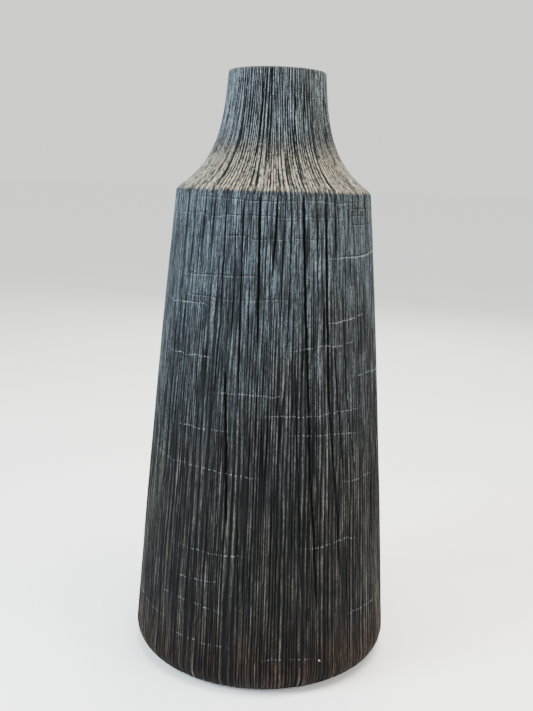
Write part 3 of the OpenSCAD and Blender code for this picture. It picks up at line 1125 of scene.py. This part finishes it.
groups = {
    "coordinates": potCoordinates(),
    "fibres": fibreLines(),
    "scratch": levelScratch(),
    "grain": clayGrain(),
    "rings": turningRings(),
}
clay = combedStoneware(groups)
print("materials ready")

guide = cutGuide()
tree = combTree()
sections = [
    ("slabAndFoot", floorSlabOutline(), False, "floor_slab"),
    ("lowerCombedWall", lowerWallOutline(), True, "lower_wall"),
    ("upperCombedWall", upperWallOutline(), True, "upper_wall"),
    ("flaredNeck", neckOutline(), True, "neck"),
    ("rolledRim", rimOutline(), True, "rim_coil"),
]
for name, line, closed, node in sections:
    piece = combedSection(name, line, closed, tree, guide, clay)
    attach(piece, "root")
    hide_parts(node)
bpy.data.objects.remove(guide)

finishes = {"glaze_liner": linerGlaze(groups)}
seam = seamClay(groups)
for name in ("floor_seam_coil", "waist_seam_coil", "shoulder_seam_coil"):
    finishes[name] = seam
for name, material in finishes.items():
    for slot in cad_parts[name].material_slots:
        slot.material = material
print("model pieces finished")

# floor, light and camera

stageLooks = {
    "floorRadius": 40.0,
    "floorSides": 96,
    "floor": (0.80, 0.79, 0.77, 1),
    "floorShade": (0.76, 0.75, 0.73, 1),
    "farFloor": (0.97, 0.97, 0.97, 1),       # meets the sky without a line
    "farRamp": (0.8, 3.5),
    "cloud": (3.0, 2.0),
    "cloudRamp": (0.3, 0.7),
    "rough": (0.3, 0.7, 0.7, 0.8),
    "sky": (0.96, 0.955, 0.94, 1),
    "skyStrength": 1.3,
}


def paleFloor():
    disc = bmesh.new()
    bmesh.ops.create_circle(disc, cap_ends=True, segments=stageLooks["floorSides"],
                             radius=stageLooks["floorRadius"])
    mesh = bpy.data.meshes.new("paleFloor")
    disc.to_mesh(mesh)
    disc.free()
    floor = bpy.data.objects.new("paleFloor", mesh)
    bpy.context.scene.collection.objects.link(floor)
    material, tree, shader, position = newMaterial("floorPaint")
    cloud = noise(tree, position, *stageLooks["cloud"])
    clouded = ramp(tree, cloud, *stageLooks["cloudRamp"])
    paint = blendTint(tree, clouded, stageLooks["floor"], stageLooks["floorShade"])
    away = addNode(tree, "ShaderNodeVectorMath", {0: position}, operation="LENGTH").outputs["Value"]
    paint = blendTint(tree, ramp(tree, away, *stageLooks["farRamp"]), paint, stageLooks["farFloor"])
    plug(tree, shader.inputs["Base Color"], paint)
    plug(tree, shader.inputs["Roughness"], ramp(tree, cloud, *stageLooks["rough"]))
    mesh.materials.append(material)


def paleWorld():
    world = bpy.data.worlds.new("paleRoom")
    world.use_nodes = True
    background = world.node_tree.nodes["Background"]
    background.inputs["Color"].default_value = stageLooks["sky"]
    background.inputs["Strength"].default_value = stageLooks["skyStrength"]
    bpy.context.scene.world = world


# place, target, width, height, watts and colour of each softbox, in metres
softboxes = {
    "overhead": ((0.12, -0.12, 1.2), (0, 0, 0.3), 0.7, 0.7, 38, (1.0, 0.93, 0.84)),
    "coolSide": ((-0.85, -0.5, 0.75), (0, 0, 0.3), 0.5, 0.7, 42, (0.66, 0.83, 1.0)),
    "rightSide": ((0.95, -0.7, 0.42), (0, 0, 0.12), 0.5, 0.7, 18, (0.96, 0.98, 1.0)),
    "behind": ((0.2, 1.2, 0.9), (0, 0, 0.2), 0.9, 0.9, 14, (1.0, 1.0, 1.0)),
}


def softbox(name, place, target, width, height, watts, colour):
    light = bpy.data.lights.new(name, "AREA")
    light.shape = "RECTANGLE"
    light.size = width
    light.size_y = height
    light.energy = watts
    light.color = colour
    lamp = bpy.data.objects.new(name, light)
    lamp.location = place
    lamp.rotation_euler = (Vector(target) - Vector(place)).to_track_quat("-Z", "Y").to_euler()
    bpy.context.scene.collection.objects.link(lamp)


viewPoint = {
    "place": (0, -0.5523, 0.2928),
    "lookDown": math.radians(10.94),
    "roll": math.radians(1.908),
    "turn": 0.0019,
    "lens": 45.67,
    "sensor": 36,
    "nearest": 0.01,
}


def addCamera():
    camera = bpy.data.cameras.new("frontView")
    camera.lens = viewPoint["lens"]
    camera.sensor_width = viewPoint["sensor"]
    camera.clip_start = viewPoint["nearest"]
    holder = bpy.data.objects.new("frontView", camera)
    aimed = Matrix.Rotation(viewPoint["turn"], 4, "Z")
    aimed = aimed @ Matrix.Rotation(quarterTurn - viewPoint["lookDown"], 4, "X")
    aimed = aimed @ Matrix.Rotation(viewPoint["roll"], 4, "Z")
    holder.matrix_world = Matrix.Translation(viewPoint["place"]) @ aimed
    bpy.context.scene.collection.objects.link(holder)
    bpy.context.scene.camera = holder


paleFloor()
paleWorld()
for name, settings in softboxes.items():
    softbox(name, *settings)
addCamera()
print("stage ready")
